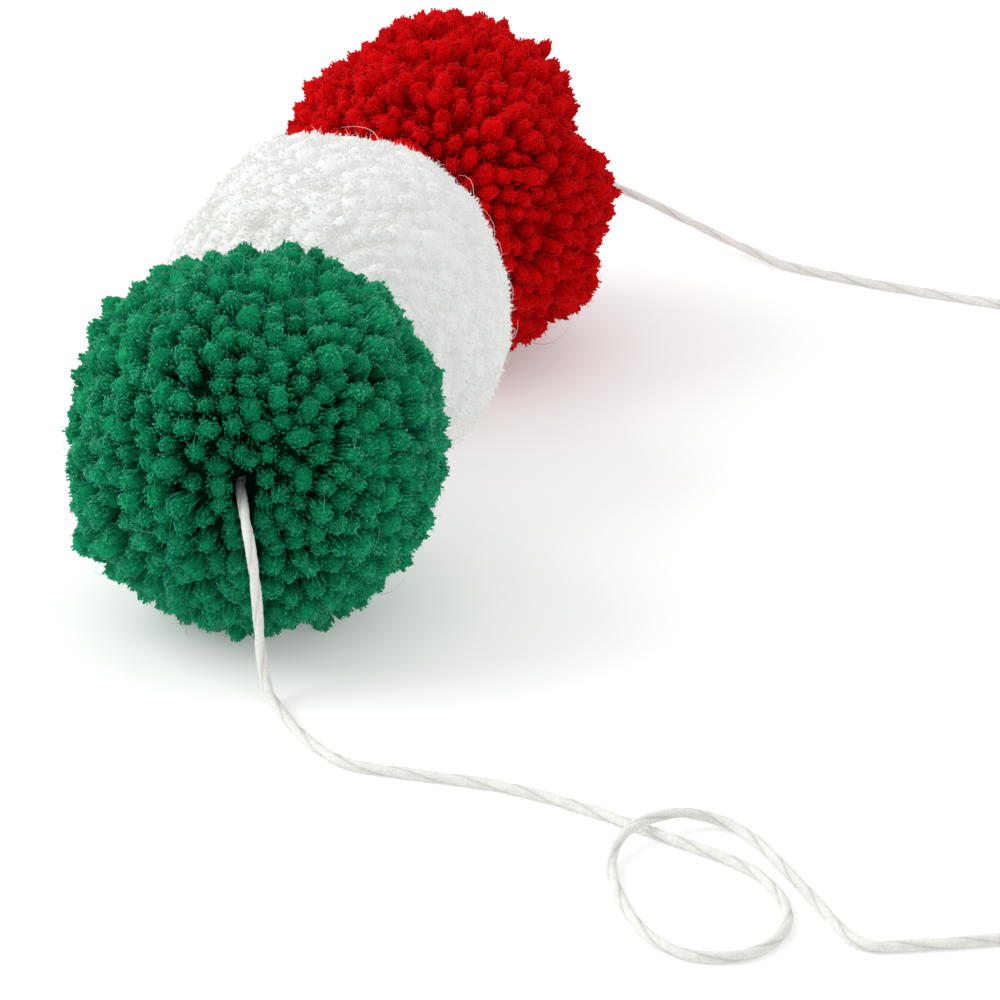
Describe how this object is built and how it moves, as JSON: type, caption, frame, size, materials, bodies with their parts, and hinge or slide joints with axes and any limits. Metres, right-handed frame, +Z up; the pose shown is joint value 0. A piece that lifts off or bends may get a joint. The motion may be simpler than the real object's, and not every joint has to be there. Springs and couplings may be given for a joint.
{
  "type": "yarn pompom garland",
  "caption": "Short garland of fluffy cut-yarn pompoms pushed together on a white plied string, lying on a surface with a loose loop in its front tail.",
  "frame": {"origin": "on the surface the garland lies on, under the middle of the row of pompoms", "axes": "+Z up from the surface, +Y along the row from the green pompom to the red one, +X to the side that both tails of the string run to"},
  "size_m": [0.1885, 0.2714, 0.0632],
  "materials": {
    "green_yarn": "matt soft yarn with cut, bloomed ends and loose fibres",
    "white_yarn": "matt soft yarn with cut, bloomed ends and loose fibres",
    "red_yarn": "matt soft yarn with cut, bloomed ends and loose fibres",
    "string": "matt plied string, loosely twisted"
  },
  "bodies": {
    "root": {"pompom_green": "green_yarn", "pompom_white": "white_yarn", "pompom_red": "red_yarn", "string": "string"}
  },
  "joints": []
}
